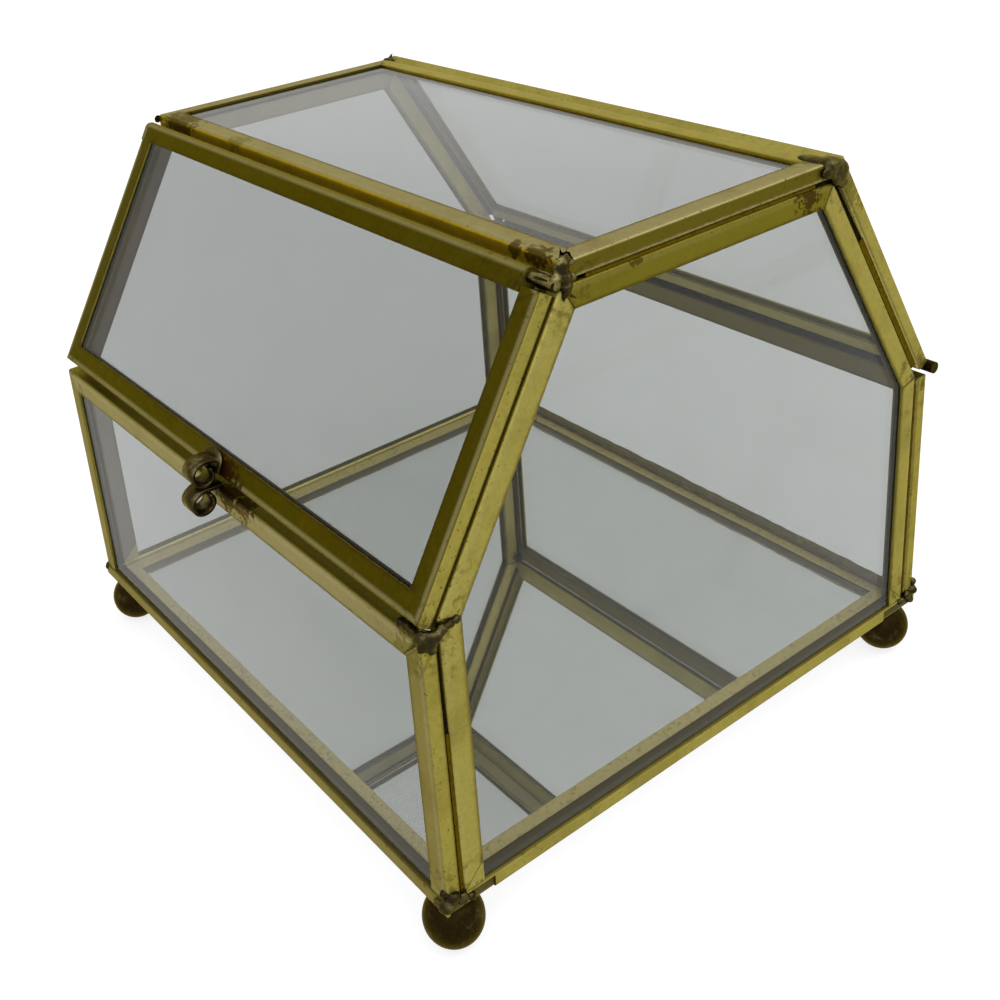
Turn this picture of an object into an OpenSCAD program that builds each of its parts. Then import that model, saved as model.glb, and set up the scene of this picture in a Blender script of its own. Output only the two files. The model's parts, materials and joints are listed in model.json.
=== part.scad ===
// Glass casket box: a six-sided prism lying on its side, with a mirror floor,
// panes edged with folded brass cames, soldered corners, four ball feet and
// a sloping front door that swings up on a wire pin along its top edge.
//
// Millimetres. +X runs along the prism, -Y is the front with the door, +Z is up.
// The floor is z = 0 and the origin is the middle of the footprint, catch included.

/* [Box] */
// Length of the walls, the door and the roof
box_len = 123; // [90:1:170]
// Depth over the outer faces of the front and rear walls
box_dep = 115; // [95:1:150]
// Height of the walls above the underside of the base
wall_h = 50.2; // [36:0.2:66]
// Height of the roof above the underside of the base
roof_h = 97.8; // [88:0.2:125]
// Depth of the flat roof pane
roof_dep = 56.6; // [44:0.2:72]

/* [Glass and cames] */
// Thickness of every pane
glass_t = 2; // [1.6:0.1:2.6]
// Thickness of the brass sheet
sheet_t = 0.4; // [0.3:0.05:0.5]
// Width of a came's flange over the glass
came_w = 3.9; // [3.2:0.1:4.6]
// Outer radius of a came's folds
fold_r = 0.6; // [0.45:0.05:0.8]
// Gap between a pane's edge and the bottom of its came
edge_gap = 0.1; // [0.05:0.05:0.3]
// Seam between an end pane's came and the sides that wrap round it
seam = 0.6; // [0.3:0.1:1]
// The same seam beside the rear slope, which stands open a little
rear_seam = 1.2; // [0.6:0.1:1.6]

/* [Base] */
// How far the base sticks out past each end pane
base_end_lip = 0.2; // [0.1:0.1:1.6]
// How far the base sticks out past the front and rear walls
base_side_lip = 0.3; // [0.1:0.1:0.8]
// Length of the cut beside each corner in the web of the base's end cames
corner_cut = 9.5; // [6:0.5:12]

/* [Door] */
// Height of the open seam between a wall's top and the sloping pane above it
waist_gap = 2.8; // [2.4:0.1:4]
// How far the door's top edge lies below the roof's face
door_drop = 0.7; // [0.4:0.1:1.4]
// Gap between the bead and the roof's front edge
bead_gap = 0.85; // [0.4:0.05:1.1]
// Gap between the shut door and the end cames that it shuts on
door_seat = 0.35; // [0.3:0.05:0.5]
// How far the door stops short of the box's ends, clear of the solder that holds the pin
door_end_gap = 0.35; // [0.25:0.05:0.6]
// How far the bead round the hinge pin swells past the door's faces
bead_swell = 0.05; // [0.03:0.01:0.08]
// Radius of the hinge pin
pin_r = 0.8; // [0.6:0.05:0.9]
// Running clearance between the pin and its bead
pin_clear = 0.05; // [0.03:0.01:0.1]
// Length of the bare pin at the right end of the bead
pin_bare = 4.5; // [3.5:0.1:6]
// How far the pin sticks out past each end of the box, into the solder
pin_out = 0.8; // [0.5:0.1:1.2]
// Widest opening of the door, in degrees
door_swing = 155; // [90:1:155]

/* [Rear slope] */
// How far the rear slope's top edge stands above the roof's face
rear_rise = 0.5; // [0.2:0.1:1]
// Gap between the rear slope's top edge and the roof's rear edge
rear_gap = 0.2; // [0.1:0.05:0.6]
// Radius of the rod in the rear waist seam
rod_r = 1.1; // [0.8:0.05:1.3]
// How far that rod sticks out past the right end
rod_out = 1.3; // [0.5:0.1:1.5]
// How far that rod lies in from the outer edge of the seam
rod_in = 0.45; // [0.2:0.05:0.8]
// Gap between the rod and the rear slope's lower edge
rod_gap = 0.1; // [0.05:0.05:0.3]

/* [Catch] */
// Width of the curled strips
strip_w = 5; // [4:0.1:6]
// Thickness of the curled strips
strip_t = 0.7; // [0.5:0.05:0.8]
// Outer radius of the door's loop
door_loop_r = 2.3; // [2:0.1:2.6]
// Outer radius of the wall's loop
wall_loop_r = 2.15; // [1.9:0.05:2.4]
// How far in front of the front wall the door's loop is centred
door_loop_out = 2.2; // [2:0.1:2.6]
// How far in front of the front wall the wall's loop is centred
wall_loop_out = 3.3; // [3:0.1:3.8]
// Gap between the door's loop and the wall's strip when the door is shut
loop_gap = 0.3; // [0.25:0.05:0.5]
// Distance of the catch to the right of the middle
catch_x = 1.5; // [-3:0.1:3]
// Width of the catch's tab on the door
tab_w = 7; // [6:0.1:9]
// Height of the catch's tab on the door
tab_h = 3.3; // [2.6:0.1:3.7]
// Angle below the level at which the door's loop starts, in degrees
door_loop_open = 66; // [40:1:80]
// Angle above the level at which the wall's loop ends, in degrees
wall_loop_shut = 20; // [0:1:45]

/* [Feet] */
// Diameter of a ball foot
foot_d = 10; // [8:0.1:11]
// Diameter of the worn flat that a foot stands on
foot_flat_d = 2.4; // [1.6:0.1:3]
// Distance from the ends of the walls to a foot's centre
foot_in_x = 4; // [3.6:0.1:8]
// Distance from the front or rear face to a foot's centre
foot_in_y = 3.6; // [3:0.1:8]
// Gap between a ball and the base, closed by the solder round it
foot_gap = 0.1; // [0.05:0.05:0.3]

/* [Solder] */
// Radius of the solder on the roof's corners
roof_solder_r = 2.8; // [2.4:0.1:3.2]
// Radius of the solder at the waist's corners
waist_solder_r = 2.3; // [1.9:0.1:2.6]
// Length of the solder along the waist seam at the front right corner
waist_solder_len = 8; // [5:0.5:12]
// Radius of the solder round the base's corners
base_solder_r = 2.6; // [2.2:0.1:2.8]
// Depth at which that solder is centred, in from the base's faces
base_solder_in = 1.6; // [1.2:0.1:1.8]
// Height of the solder collar between a foot and the base
foot_solder_h = 0.9; // [0.6:0.1:1.4]
// Gap kept between the solder and the swinging door
solder_gap = 0.35; // [0.25:0.05:0.6]
// Distance from the ends to the tacks of solder that hold the rear rod
rod_tack_in = 8; // [6:0.5:14]

/* [Hidden] */
$fn = 48;
// Length by which a cutting shape runs past a face
over = 1;
// Added to the gap round the door's swing, so that its faces and the end panes' share no plane
off_plane = 0.02;
came_t = glass_t + 2 * sheet_t;
half_len = box_len / 2;
half_dep = box_dep / 2;
half_roof = roof_dep / 2;

// Levels above the floor
foot_centre_z = sqrt(pow(foot_d, 2) - pow(foot_flat_d, 2)) / 2;
base_z = foot_centre_z + foot_d / 2 + foot_gap;
floor_z = base_z + came_t;
wall_z = base_z + wall_h;
slope_z = wall_z + waist_gap;
roof_z = base_z + roof_h;

// Rough slope of the door and the rear slope, which sets how far out their tops lie
rough_tilt = atan2(roof_z - slope_z, half_dep - half_roof - came_t);
bead_r = came_t / 2 + bead_swell;
door_out = bead_gap + bead_r + (came_t / 2) * (sin(rough_tilt) - cos(rough_tilt));
rear_out = rear_gap + came_t * sin(rough_tilt);

// Ends of the six sides' outer faces as [y, z], counted from the box's middle
rear_low = [half_dep, floor_z];
rear_top = [half_dep, wall_z];
slope_low = [half_dep, slope_z];
slope_top = [half_roof + rear_out, roof_z + rear_rise];
roof_rear = [half_roof, roof_z];
roof_front = [-half_roof, roof_z];
door_top = [-half_roof - door_out, roof_z - door_drop];
door_low = [-half_dep, slope_z];
front_top = [-half_dep, wall_z];
front_low = [-half_dep, floor_z];

// The door's tilt and height, the way up it and out of it, and its hinge axis as [y, z]
door_tilt = tilt(door_low, door_top);
door_h = norm(door_top - door_low);
door_up = [cos(door_tilt), sin(door_tilt)];
door_face = [-sin(door_tilt), cos(door_tilt)];
hinge_yz = door_top - (came_t / 2) * (door_up + door_face);
// Depth of the solid edge that holds the bead, from the door's top edge
bead_depth = came_t / 2 + bead_r;

// Centre of the rod in the rear waist seam as [y, z]
rod_yz = slope_low + (rod_r + rod_gap) * towards(slope_top, slope_low)
  + rod_in * left_of(towards(slope_low, slope_top));

// Centres of the catch's two loops as [y, z]
wall_loop_yz = [-half_dep - wall_loop_out, wall_z + strip_t - wall_loop_r];
door_loop_yz = [-half_dep - door_loop_out, wall_z + strip_t + loop_gap + door_loop_r];

// The whole is moved forwards or back so that the origin is in the middle of the footprint
front_reach = max(half_dep + wall_loop_out + wall_loop_r, half_dep - foot_in_y + foot_d / 2);
rear_reach = max(rod_yz[0] + rod_r, half_dep + base_side_lip, half_dep - foot_in_y + foot_d / 2);
origin_y = (front_reach - rear_reach) / 2;

// Corners of an end pane's came as [y, z], inside the sides that wrap round it
side_in = came_t + seam;
slope_in = came_t + rear_seam;
end_pts = [
  [half_dep - side_in, floor_z],
  meet([rear_low, rear_top], side_in, [slope_low, slope_top], slope_in),
  meet([slope_low, slope_top], slope_in, [roof_rear, roof_front], side_in),
  meet([roof_rear, roof_front], side_in, [door_top, door_low], came_t + door_seat),
  meet([door_top, door_low], came_t + door_seat, [front_top, front_low], side_in),
  [side_in - half_dep, floor_z]
];

// Which edges of a panel carry a came: the first is the one that it starts from
all_round = [true, true, true, true];
first_open = [false, true, true, true];
third_open = [true, true, false, true];
// An end pane stands bare on the base and has a came round its other five edges
end_cames = [true, true, true, true, true, false];

brass = [0.62, 0.58, 0.30];
dark_brass = [0.36, 0.33, 0.12];
bronze = [0.30, 0.26, 0.17];
solder_grey = [0.33, 0.31, 0.26];
pane = [0.80, 0.86, 0.84, 0.30];
silver = [0.70, 0.73, 0.72];

// Angle of the line from a to b
function tilt(a, b) = atan2(b[1] - a[1], b[0] - a[0]);

// Unit vector from a to b, and the one on its left
function towards(a, b) = (b - a) / norm(b - a);
function left_of(v) = [-v[1], v[0]];

// A vector turned by an angle
function turn(v, a) = [v[0] * cos(a) - v[1] * sin(a), v[0] * sin(a) + v[1] * cos(a)];

// Point where two lines meet, each moved to its left by its own distance
function meet(ab, d, ef, g) =
  let (
    u = towards(ab[0], ab[1]),
    v = towards(ef[0], ef[1]),
    p = ab[0] + d * left_of(u),
    q = ef[0] + g * left_of(v),
    s = ((q[0] - p[0]) * v[1] - (q[1] - p[1]) * v[0]) / (u[0] * v[1] - u[1] * v[0])
  )
  p + s * u;

// Polygon whose edges with a came are moved inwards by d, and the others outwards by e
function inset(pts, cames, d, e = 0) =
  let (n = len(pts))
  [
    for (i = [0 : n - 1])
      let (h = (i + n - 1) % n)
      meet([pts[h], pts[i]], cames[h] ? d : -e, [pts[i], pts[(i + 1) % n]], cames[i] ? d : -e)
  ];

// Flat panel from x0 to x1, with its first edge on the X axis
function panel(h, x0 = -half_len, x1 = half_len) = [[x0, 0], [x1, 0], [x1, h], [x0, h]];

// A section drawn with x to the left of the line from a to b, run along that line
module run(a, b, past = 0) {
  translate([a[0], a[1], 0])
    rotate([0, 0, tilt(a, b)])
      rotate([90, 0, 90])
        translate([0, 0, -past])
          linear_extrude(norm(b - a) + 2 * past) children();
}

// Section of a plate as thick as a came, its edge at x = 0 rounded by the came's folds
module plate_section() {
  translate([fold_r, 0]) square([2 * box_len, came_t]);
  translate([0, fold_r]) square([2 * fold_r, came_t - 2 * fold_r]);
  for (y = [fold_r, came_t - fold_r]) {
    translate([fold_r, y]) circle(r = fold_r);
  }
}

// A plate with rounded folds along the edges that carry a came
module plate(pts, cames) {
  n = len(pts);
  intersection_for (i = [0 : n - 1]) {
    run(pts[i], pts[(i + 1) % n], 2 * box_len) {
      if (cames[i]) {
        plate_section();
      } else {
        square([2 * box_len, came_t]);
      }
    }
  }
}

// Came round a pane: the plate less the slot for the pane and the window in its flanges
module came(pts, cames) {
  difference() {
    plate(pts, cames);
    translate([0, 0, sheet_t])
      linear_extrude(glass_t) polygon(inset(pts, cames, sheet_t, over));
    translate([0, 0, -over])
      linear_extrude(came_t + 2 * over) polygon(inset(pts, cames, came_w, over));
  }
}

// The pane that fits a came
module glass(pts, cames) {
  translate([0, 0, sheet_t])
    linear_extrude(glass_t) polygon(inset(pts, cames, sheet_t + edge_gap));
}

// The space that a pane and its came fill together
module slab(pts) {
  linear_extrude(came_t) polygon(pts);
}

// Puts a flat panel on a side of the box: its first edge at [y, z], rising at an angle
module on_side(at, angle) {
  translate([0, at[0] + origin_y, at[1]])
    rotate([angle, 0, 0])
      translate([0, 0, -came_t]) children();
}

// Puts an end pane at the right or the left end
module on_end(side) {
  translate([side > 0 ? half_len - came_t : -half_len, origin_y, 0])
    rotate([90, 0, 90]) children();
}

// Runs a section drawn as [y, z] along the box from x0 to x1
module across(x0, x1) {
  translate([x0, origin_y, 0])
    rotate([90, 0, 90])
      linear_extrude(x1 - x0) children();
}

// The sides: each places what it is given, drawn flat
module front_side() on_side(front_low, 90) children();
module rear_side() on_side(rear_top, -90) children();
module roof_side() on_side(roof_front, 0) children();
module rear_slope_side() on_side(slope_top, tilt(slope_top, slope_low)) children();
module door_side() on_side(door_low, door_tilt) children();
module base_side() on_side([half_dep + base_side_lip, base_z], 180) children();

// Their outlines
wall_pts = panel(wall_z - floor_z);
roof_pts = panel(roof_dep);
rear_slope_pts = panel(norm(slope_low - slope_top));
door_half = half_len - door_end_gap;
door_pts = panel(door_h, -door_half, door_half);
base_end = half_len + base_end_lip;
base_pts = panel(box_dep + 2 * base_side_lip, -base_end, base_end);

module base_mirror() {
  color(silver) base_side() glass(base_pts, all_round);
}

// The web and the lower fold are cut away beside the corners, where the strip was bent
module base_came() {
  color(brass) {
    difference() {
      base_side() came(base_pts, all_round);
      base_cuts();
    }
  }
}

module base_cuts() {
  base_side()
    for (x = [-base_end - over, base_end - fold_r]) {
      for (y = [fold_r, box_dep + 2 * base_side_lip - corner_cut]) {
        translate([x, y, sheet_t]) cube([over + fold_r, corner_cut - fold_r, came_t]);
      }
    }
}

module front_glass() {
  color(pane) front_side() glass(wall_pts, first_open);
}

module front_came() {
  color(brass) front_side() came(wall_pts, first_open);
}

module rear_glass() {
  color(pane) rear_side() glass(wall_pts, third_open);
}

module rear_came() {
  color(brass) rear_side() came(wall_pts, third_open);
}

module end_glass(side) {
  color(pane) on_end(side) glass(end_pts, end_cames);
}

module end_came(side) {
  color(brass) on_end(side) came(end_pts, end_cames);
}

module roof_glass() {
  color(pane) roof_side() glass(roof_pts, all_round);
}

module roof_came() {
  color(brass) roof_side() came(roof_pts, all_round);
}

module rear_slope_glass() {
  color(pane) rear_slope_side() glass(rear_slope_pts, all_round);
}

module rear_slope_came() {
  color(brass) rear_slope_side() came(rear_slope_pts, all_round);
}

// The door's glass stops short of the bead that holds the pin
module door_glass() {
  side_in = sheet_t + edge_gap;
  glass_h = door_h - bead_depth - edge_gap - side_in;
  color(pane) {
    door_side()
      translate([side_in - door_half, side_in, sheet_t])
        cube([2 * (door_half - side_in), glass_h, glass_t]);
  }
}

// The door's came: plain on three edges, its top edge rolled into a bead round the pin
module door_came() {
  side_h = door_h - bead_depth;
  color(dark_brass) {
    difference() {
      door_side() {
        came(panel(side_h, -door_half, door_half), third_open);
        bead_edge();
      }
      across(-base_end, base_end) pin_section(pin_clear);
    }
  }
}

// Top run of the door's came, which stops short of the right corner
module bead_edge() {
  run([half_len - pin_bare, door_h], [-door_half, door_h]) {
    translate([came_t / 2, came_t / 2]) circle(r = bead_r);
    translate([came_t / 2, 0]) square([bead_depth - came_t / 2, came_t]);
    for (y = [0, came_t - sheet_t]) {
      translate([came_t / 2, y]) square([came_w - came_t / 2, sheet_t]);
    }
  }
}

// The pin runs through the bead into the solder at both ends
module hinge_pin() {
  color(bronze) across(-half_len - pin_out, half_len + pin_out) pin_section(0);
}

module pin_section(extra) {
  translate(hinge_yz) circle(r = pin_r + extra);
}

module rear_waist_rod() {
  color(bronze) across(-half_len, half_len + rod_out) rod_section();
}

module rod_section() {
  translate(rod_yz) circle(r = rod_r);
}

// A strip curled into a loop: a ring, open over the angles from a to b
module loop_section(r, a, b) {
  difference() {
    circle(r = r);
    circle(r = r - strip_t);
    polygon([[0, 0], 2 * r * [cos(a), sin(a)], 2 * r * [cos(b), sin(b)]]);
  }
}

// The door's half of the catch: a tab on the door's lower flange and a loop in front of it
module door_catch() {
  color(bronze) {
    difference() {
      across(catch_x - strip_w / 2, catch_x + strip_w / 2)
        translate(door_loop_yz) loop_section(door_loop_r, -door_loop_open, 0);
      door_side() slab(door_pts);
    }
    door_side() translate([catch_x, 0, came_t]) linear_extrude(strip_t) tab_shape();
  }
}

// Outline of the tab, with an arched top
module tab_shape() {
  arch_r = 0.62 * tab_w;
  intersection() {
    translate([-tab_w / 2, 0]) square([tab_w, tab_h]);
    translate([0, tab_h - arch_r]) circle(r = arch_r);
  }
}

// The wall's half: a strip that lies on the wall's top edge, and a loop in front of it
module wall_catch() {
  color(bronze) {
    across(catch_x - strip_w / 2, catch_x + strip_w / 2) {
      translate(wall_loop_yz) loop_section(wall_loop_r, wall_loop_shut, 90);
      translate([wall_loop_yz[0], wall_z]) square([wall_loop_out + came_t - fold_r, strip_t]);
    }
  }
}

// A ball with a worn flat under it
module foot(side, end) {
  color(bronze) {
    translate(foot_at(side, end)) {
      difference() {
        sphere(d = foot_d);
        translate([-foot_d, -foot_d, -foot_centre_z - 2 * foot_d])
          cube([2 * foot_d, 2 * foot_d, 2 * foot_d]);
      }
    }
  }
}

function foot_at(side, end) = [
  side * (half_len - foot_in_x),
  end * (half_dep - foot_in_y) + origin_y,
  foot_centre_z
];

// A collar of solder between each ball and the base
module foot_solder() {
  ball_r = sqrt(pow(foot_d / 2, 2) - pow(foot_d / 2 + foot_gap - foot_solder_h, 2));
  low_r = ball_r + 0.1;
  high_r = ball_r + foot_solder_h;
  color(solder_grey) {
    for (side = [-1, 1]) {
      for (end = [-1, 1]) {
        difference() {
          translate([foot_at(side, end)[0], foot_at(side, end)[1], base_z - foot_solder_h])
            cylinder(h = foot_solder_h, r1 = low_r, r2 = high_r);
          translate(foot_at(side, end)) sphere(d = foot_d);
        }
      }
    }
  }
}

// The space filled by the fixed panels, which solder doesn't run into
module panels() {
  front_side() slab(wall_pts);
  rear_side() slab(wall_pts);
  roof_side() slab(roof_pts);
  rear_slope_side() slab(rear_slope_pts);
  for (side = [-1, 1]) {
    on_end(side) slab(end_pts);
  }
  base_side() slab(base_pts);
}

// The space that the door swings through, grown by the solder's gap
module door_space() {
  keep = came_t / 2 + solder_gap + off_plane;
  end_x = door_half + solder_gap + off_plane;
  far = 2 * door_h;
  shut = hinge_yz - keep * door_face;
  shut_low = shut - (door_h - came_t / 2 + solder_gap) * door_up;
  open = hinge_yz + keep * turn(door_face, -door_swing);
  open_high = open - far * turn(door_up, -door_swing);
  across(-end_x, end_x) {
    difference() {
      polygon([shut, shut_low, shut_low + far * door_face, [-far, far + roof_z], open_high, open]);
      translate(hinge_yz) circle(r = bead_depth - came_t / 2 - solder_gap);
    }
  }
  across(-end_x, half_len - pin_bare + solder_gap)
    translate(hinge_yz) circle(r = bead_r + solder_gap);
}

// A drop of solder round a point
module drop(x, yz, r) {
  translate([x, yz[0] + origin_y, yz[1]]) sphere(r = r);
}

// A bead of solder along the box, round at both ends
module drop_run(x0, x1, yz, r) {
  across(x0, x1) translate(yz) circle(r = r);
  drop(x0, yz, r);
  drop(x1, yz, r);
}

// Solder trimmed to what is clear of the panels and of the door's swing
module trimmed() {
  difference() {
    children();
    panels();
    door_space();
  }
}

// What is built at the left end, and its mirror image at the right
module both_ends() {
  children();
  mirror([1, 0, 0]) children();
}

// The drops lie a share of their radius in from the corners
module roof_solder() {
  r = roof_solder_r;
  end_x = half_len - 0.5 * r;
  upper = roof_front + r * [0.25, 0];
  lower = roof_front - r * [0.2, 0.9];
  cap = roof_front - r * [0.2, 1.05];
  patch_r = 1.4 * r;
  patch_x = half_len - 0.9 * r;
  patch = roof_rear - r * [0.1, 0.85];
  color(solder_grey) {
    // Front right: a tall drop on the corner, and one below it that holds the pin's end
    difference() {
      trimmed() {
        drop(end_x, upper, r);
        drop(end_x, lower, r);
      }
      hinge_pin();
    }
    // Front left: a cap over the pin's end
    difference() {
      trimmed() drop(-end_x, cap, r);
      hinge_pin();
    }
    // Rear corners: smooth patches
    both_ends() trimmed() drop(-patch_x, patch, patch_r);
  }
}

module waist_solder() {
  r = waist_solder_r;
  end_x = half_len - 0.5 * r;
  seam_low = front_top + r * [0.6, 0.1];
  // Inside a corner
  inner_r = 0.8 * r;
  inner_x = half_len - came_t - 0.3 * r;
  inner_in = 1.8 * r;
  inner_down = 0.5 * r;
  // On the rear rod
  tack_r = 0.9 * r;
  tack = rear_top + r * [-0.5, 0.5];
  color(solder_grey) {
    // Front right: along the seam and round the corner
    trimmed() drop_run(half_len - waist_solder_len, end_x, seam_low, r);
    // Front left: inside the corner only
    trimmed() drop(-inner_x, front_top + [inner_in, -inner_down], inner_r);
    // Rear: inside both corners, and two tacks that hold the rod
    both_ends() trimmed() drop(-inner_x, rear_top - [inner_in, inner_down], inner_r);
    difference() {
      both_ends() trimmed() drop(rod_tack_in - half_len, tack, tack_r);
      rear_waist_rod();
    }
  }
}

// The drop at the rear right corner of the base
module base_drop() {
  in_y = half_dep + base_side_lip - base_solder_in;
  difference() {
    drop(base_end - base_solder_in, [in_y, base_z + came_t / 2], base_solder_r);
    base_side() slab(base_pts);
    rear_side() slab(wall_pts);
    on_end(1) slab(end_pts);
    // The room inside the box, and all that is below the base
    translate([0, origin_y, floor_z - over])
      cube([half_len - came_t, half_dep - came_t, came_t + over]);
    translate([0, origin_y, 0])
      cube([box_len, box_dep, base_z]);
  }
}

module base_solder() {
  color(solder_grey) {
    for (side = [0, 1]) {
      for (end = [0, 1]) {
        translate([0, origin_y, 0])
          mirror([side, 0, 0])
            mirror([0, end, 0])
              translate([0, -origin_y, 0]) base_drop();
      }
    }
  }
}

base_mirror();
base_came();
front_glass();
front_came();
rear_glass();
rear_came();
end_glass(-1);  // left_glass
end_came(-1);  // left_came
end_glass(1);  // right_glass
end_came(1);  // right_came
roof_glass();
roof_came();
rear_slope_glass();
rear_slope_came();
door_glass();
door_came();
hinge_pin();
rear_waist_rod();
door_catch();
wall_catch();
foot(-1, -1);  // foot_front_left
foot(1, -1);  // foot_front_right
foot(-1, 1);  // foot_rear_left
foot(1, 1);  // foot_rear_right
foot_solder();
base_solder();
waist_solder();
roof_solder();
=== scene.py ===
# Looks of a glass casket box: tarnished brass cames, panes tinted grey as painted shade for the
# dim backdrop seen through them, a mirror floor, lumpy solder at the corners, bronze feet and a
# curled catch.
# Metres, in the frame of the imported model. Shaders and lists of places are in
# millimetres. A came is the folded brass strip that holds a pane's edge.
import json
import math

import bmesh
import bpy
from mathutils import Euler, Matrix, Vector, geometry, noise

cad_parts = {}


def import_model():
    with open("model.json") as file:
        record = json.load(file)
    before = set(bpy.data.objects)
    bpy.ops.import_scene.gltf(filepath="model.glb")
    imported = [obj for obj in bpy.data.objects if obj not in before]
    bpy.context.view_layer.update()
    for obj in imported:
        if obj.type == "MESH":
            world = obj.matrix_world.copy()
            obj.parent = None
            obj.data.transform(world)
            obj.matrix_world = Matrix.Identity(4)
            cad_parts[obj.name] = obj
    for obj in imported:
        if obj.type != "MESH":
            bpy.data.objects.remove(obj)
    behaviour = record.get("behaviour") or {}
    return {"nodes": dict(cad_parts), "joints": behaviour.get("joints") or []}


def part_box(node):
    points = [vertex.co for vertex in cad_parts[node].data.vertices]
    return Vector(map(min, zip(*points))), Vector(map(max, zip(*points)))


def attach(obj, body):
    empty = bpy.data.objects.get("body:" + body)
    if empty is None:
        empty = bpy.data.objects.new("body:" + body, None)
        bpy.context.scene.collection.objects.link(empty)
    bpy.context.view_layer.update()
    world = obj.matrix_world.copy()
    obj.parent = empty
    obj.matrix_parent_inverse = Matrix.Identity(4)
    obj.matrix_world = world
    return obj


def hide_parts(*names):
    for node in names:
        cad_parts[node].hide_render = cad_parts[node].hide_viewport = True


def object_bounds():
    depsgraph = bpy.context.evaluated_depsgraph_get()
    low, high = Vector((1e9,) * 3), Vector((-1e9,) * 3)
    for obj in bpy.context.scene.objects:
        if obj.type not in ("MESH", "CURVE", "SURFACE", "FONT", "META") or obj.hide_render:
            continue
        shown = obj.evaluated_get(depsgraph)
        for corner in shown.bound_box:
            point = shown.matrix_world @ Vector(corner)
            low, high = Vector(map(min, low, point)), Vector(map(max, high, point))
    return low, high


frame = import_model()
cad_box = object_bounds()
nodes = frame["nodes"]
MM = 0.001

# The photograph's frame, and the camera that fits it
FRAME_PX = 1000
FOCAL_PX = 1330.8
CENTRE_PX = (434.7, 295.4)
SENSOR_MM = 36
CAMERA_AT = Vector((187.05, -135.89, 174.02)) * MM
CAMERA_TURN = (67.205, 4.638, 53.047)

# Colours, linear: a painted highlight, then brass from bright to dark
PAINTED_HIGHLIGHT = (0.40, 0.36, 0.17)
BRIGHT = (0.32, 0.275, 0.066)
GOLD = (0.30, 0.255, 0.052)
PALE = (0.26, 0.225, 0.110)
TAN = (0.205, 0.172, 0.060)
WARM_OLIVE = (0.17, 0.14, 0.022)
YELLOW_OLIVE = (0.155, 0.132, 0.014)
OLIVE = (0.105, 0.085, 0.010)
SHADED_FLANGE_TONE = (0.085, 0.066, 0.014)
DARK_OLIVE = (0.052, 0.040, 0.001)
BROWN_OLIVE = (0.050, 0.040, 0.006)
BRIGHT_AMBER = (0.34, 0.235, 0.012)
AMBER = (0.11, 0.070, 0.003)
DARK_AMBER = (0.05, 0.036, 0.003)

# Brass seen from inside the box, where little light comes. These tones are painted light:
# lighter than the brass is, with dimmer, greyer, browner and darker copies as painted shade on
# single sides
PAINTED_LIGHT_WITHIN = (0.96, 0.83, 0.22)
PAINTED_DIM_WITHIN = (0.50, 0.42, 0.12)
PAINTED_GREY_WITHIN = (0.24, 0.23, 0.16)
PAINTED_BROWN_WITHIN = (0.24, 0.205, 0.03)
PAINTED_SHADE_WITHIN = (0.11, 0.085, 0.018)
BORDER = (0.46, 0.38, 0.13)
BORDER_WORN = (0.38, 0.31, 0.10)

# Dirt, painted shadow, solder, bronze and glass
BROWN = (0.035, 0.018, 0.004)
STAIN = (0.030, 0.010, 0.003)
SHADOW = (0.010, 0.008, 0.003)
SHADOW_MOTTLE = (0.022, 0.015, 0.004)
BRONZE = (0.016, 0.010, 0.003)
BRONZE_WORN = (0.070, 0.052, 0.022)
# The worn tones of the catch and the solder are also the tones of painted light on their upper faces
CATCH = (0.030, 0.022, 0.009)
CATCH_WORN_AND_TOP_LIGHT = (0.15, 0.12, 0.055)
SOLDER = (0.022, 0.018, 0.008)
SOLDER_WORN_AND_TOP_LIGHT = (0.080, 0.065, 0.026)
SOLDER_BRIGHT_AND_TOP_LIGHT = (0.165, 0.140, 0.052)
CEMENT = (0.12, 0.095, 0.028)
CEMENT_PALE = (0.20, 0.165, 0.08)
# The panes' grey is painted shade, the dim backdrop seen through them. Their cut edges are painted dark
# as shade.
PANE_SHADE_TINT = (0.585, 0.60, 0.59)
PANE_EDGE = (0.028, 0.024, 0.010)
CLEAR_GLASS = (0.95, 0.96, 0.95)
SILVER = (0.93, 0.935, 0.925)

# What a pane lets through of a lamp's light, and what metal reflects at a slant
LAMP_SHARE = (0.95, 0.95, 0.95)
EDGE_TINT = (0.88, 0.80, 0.50)

FRONT, REAR = (0, -1, 0), (0, 1, 0)
LEFT, RIGHT = (-1, 0, 0), (1, 0, 0)
UP = (0, 0, 1)


def scaled(colour, share):
    return tuple(share * c for c in colour)


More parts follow.
